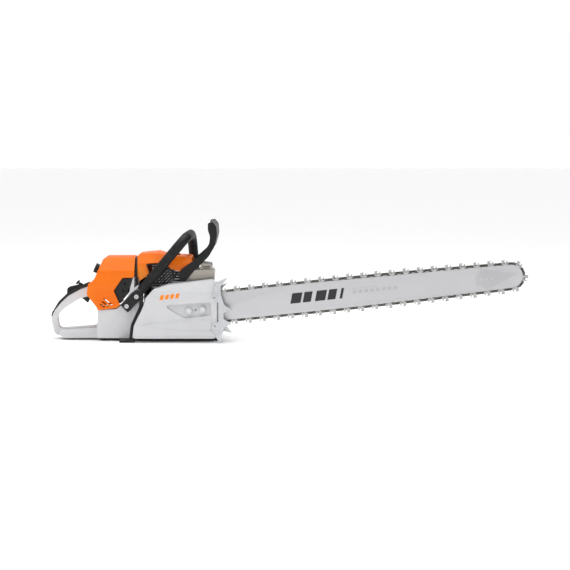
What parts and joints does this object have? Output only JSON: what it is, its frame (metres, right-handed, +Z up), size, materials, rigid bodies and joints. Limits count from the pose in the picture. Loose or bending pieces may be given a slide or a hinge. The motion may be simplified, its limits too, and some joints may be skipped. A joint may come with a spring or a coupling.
{
  "type": "chainsaw",
  "caption": "Large petrol chainsaw with a long guide bar, full chain, wrap front handle, hand guard, rear handle and bumper spikes.",
  "frame": {"origin": "on the ground, under the crankshaft, in the middle of the cylinder's width", "axes": "+X along the guide bar, +Y to the saw's left side, +Z up"},
  "size_m": [1.3972, 0.2484, 0.3499],
  "materials": {
    "housing_grey": "satin",
    "cover_orange": "satin",
    "black_plastic": "matte",
    "black_rubber": "matte",
    "case_metal": "satin",
    "cast_aluminium": "cast",
    "muffler_metal": "heat tinted",
    "machined_steel": "machined",
    "bar_steel": "satin",
    "chain_steel": "blued",
    "cutter_chrome": "chromed",
    "zinc_plate": "zinc plated",
    "spring_steel": "oiled",
    "cord_fibre": "woven",
    "filter_fleece": "pleated",
    "plug_ceramic": "glazed"
  },
  "bodies": {
    "powerhead": {"crankcase_right": "case_metal", "crankcase_left": "case_metal", "skid_guard": "black_plastic", "engine_cylinder": "cast_aluminium", "muffler": "muffler_metal", "muffler_deflector": "muffler_metal", "tank_housing": "housing_grey", "rear_grip": "black_rubber", "filter_cover": "cover_orange", "air_filter": "filter_fleece", "carburetor": "cast_aluminium", "intake_boot": "black_rubber", "adjuster_panel": "black_plastic", "cylinder_shroud": "cover_orange", "shroud_grille": "black_plastic", "fan_housing": "housing_grey", "ignition_coil": "black_plastic", "spark_plug": "plug_ceramic", "plug_boot": "black_rubber", "rewind_spring": "spring_steel", "sprocket_cover": "housing_grey", "bar_studs": "machined_steel", "bar_nuts": "zinc_plate", "tensioner_screw": "spring_steel", "outer_spike": "zinc_plate", "inner_spike": "zinc_plate", "front_handle": "black_rubber", "handle_bracket": "black_plastic", "cover_screws": "zinc_plate", "lower_stay": "black_rubber", "heat_shield": "black_plastic", "guide_bar": "bar_steel", "bar_nose": "bar_steel", "drive_links": "chain_steel", "tie_straps": "chain_steel", "cutter_links": "cutter_chrome", "brake_band": "spring_steel", "oil_pump": "cast_aluminium", "main_bearings": "machined_steel"},
    "trigger": {"throttle_trigger": "black_plastic"},
    "lockout": {"throttle_lockout": "black_plastic"},
    "throttle_link": {"throttle_rod": "machined_steel"},
    "lever": {"control_lever": "black_plastic"},
    "knob": {"cover_knob": "black_plastic"},
    "guard": {"hand_guard": "black_plastic"},
    "crank": {"crankshaft": "machined_steel", "flywheel": "cast_aluminium", "clutch_hub": "spring_steel"},
    "drum": {"clutch_drum": "machined_steel", "rim_sprocket": "machined_steel"},
    "nose_wheel": {"nose_sprocket": "machined_steel"},
    "piston": {"piston": "cast_aluminium"},
    "conrod": {"connecting_rod": "machined_steel"},
    "pull_handle": {"starter_rope": "cord_fibre", "starter_grip": "black_rubber"},
    "pulley": {"starter_pulley": "black_plastic", "rope_winding": "cord_fibre"},
    "fuel_cap": {"fuel_cap": "black_plastic"},
    "oil_cap": {"oil_cap": "black_plastic"},
    "valve": {"decompression_valve": "black_plastic"}
  },
  "joints": [
    {"name": "throttle_trigger", "type": "hinge", "parent": "powerhead", "child": "trigger", "pos_m": [-0.233, -0.003, 0.141], "axis": [0, 1, 0], "range_deg": [0, 15], "stiffness_Nm_per_rad": 0.1, "springref_deg": -11.46},
    {"name": "throttle_link", "type": "slide", "parent": "powerhead", "child": "throttle_link", "axis": [1, 0, 0], "range_m": [0, 0.0022]},
    {"name": "throttle_lockout", "type": "hinge", "parent": "powerhead", "child": "lockout", "pos_m": [-0.262, -0.003, 0.141], "axis": [0, -1, 0], "range_deg": [0, 8], "stiffness_Nm_per_rad": 0.1, "springref_deg": -17.19},
    {"name": "control_lever", "type": "hinge", "parent": "powerhead", "child": "lever", "pos_m": [-0.244, 0.018, 0.144], "axis": [0, 1, 0], "range_deg": [-20, 20]},
    {"name": "cover_knob", "type": "hinge", "parent": "powerhead", "child": "knob", "pos_m": [-0.202, 0, 0.205], "axis": [-0.9186, 0, 0.3952], "range_deg": [0, 90]},
    {"name": "hand_guard", "type": "hinge", "parent": "powerhead", "child": "guard", "pos_m": [0.052, 0.0235, 0.188], "axis": [0, 1, 0], "range_deg": [0, 18]},
    {"name": "crankshaft_spin", "type": "hinge", "parent": "powerhead", "child": "crank", "pos_m": [0, 0, 0.087], "axis": [0, 1, 0], "continuous": true},
    {"name": "drum_spin", "type": "hinge", "parent": "powerhead", "child": "drum", "pos_m": [0, -0.078, 0.087], "axis": [0, 1, 0], "continuous": true},
    {"name": "nose_sprocket_spin", "type": "hinge", "parent": "powerhead", "child": "nose_wheel", "pos_m": [1.00447, -0.078, 0.19257], "axis": [0, 1, 0], "continuous": true},
    {"name": "piston_slide", "type": "slide", "parent": "powerhead", "child": "piston", "axis": [0, 0, -1], "range_m": [0, 0.043]},
    {"name": "rod_swing", "type": "hinge", "parent": "piston", "child": "conrod", "pos_m": [0, 0, 0.1835], "axis": [0, 1, 0], "range_deg": [-17, 17]},
    {"name": "starter_pull", "type": "slide", "parent": "powerhead", "child": "pull_handle", "axis": [0, 0, 1], "range_m": [0, 0.08], "stiffness_N_per_m": 60, "springref_m": -0.05},
    {"name": "pulley_turn", "type": "hinge", "parent": "powerhead", "child": "pulley", "pos_m": [0, 0.085, 0.087], "axis": [0, 1, 0], "range_deg": [0, 168]},
    {"name": "fuel_cap_turn", "type": "hinge", "parent": "powerhead", "child": "fuel_cap", "pos_m": [-0.15, 0.058, 0.055], "axis": [0, 1, 0], "range_deg": [0, 90]},
    {"name": "oil_cap_turn", "type": "hinge", "parent": "powerhead", "child": "oil_cap", "pos_m": [0.122, 0.045, 0.07], "axis": [0, 1, 0], "range_deg": [0, 90]},
    {"name": "decompression_press", "type": "slide", "parent": "powerhead", "child": "valve", "axis": [0, 0, -1], "range_m": [0, 0.003], "stiffness_N_per_m": 200, "springref_m": -0.002}
  ],
  "couplings": [
    {"joint": "throttle_link", "follows": "throttle_trigger", "m_per_rad": 0.008},
    {"joint": "nose_sprocket_spin", "follows": "drum_spin", "ratio": 0.66667},
    {"joint": "pulley_turn", "follows": "starter_pull", "rad_per_m": 36.496}
  ]
}
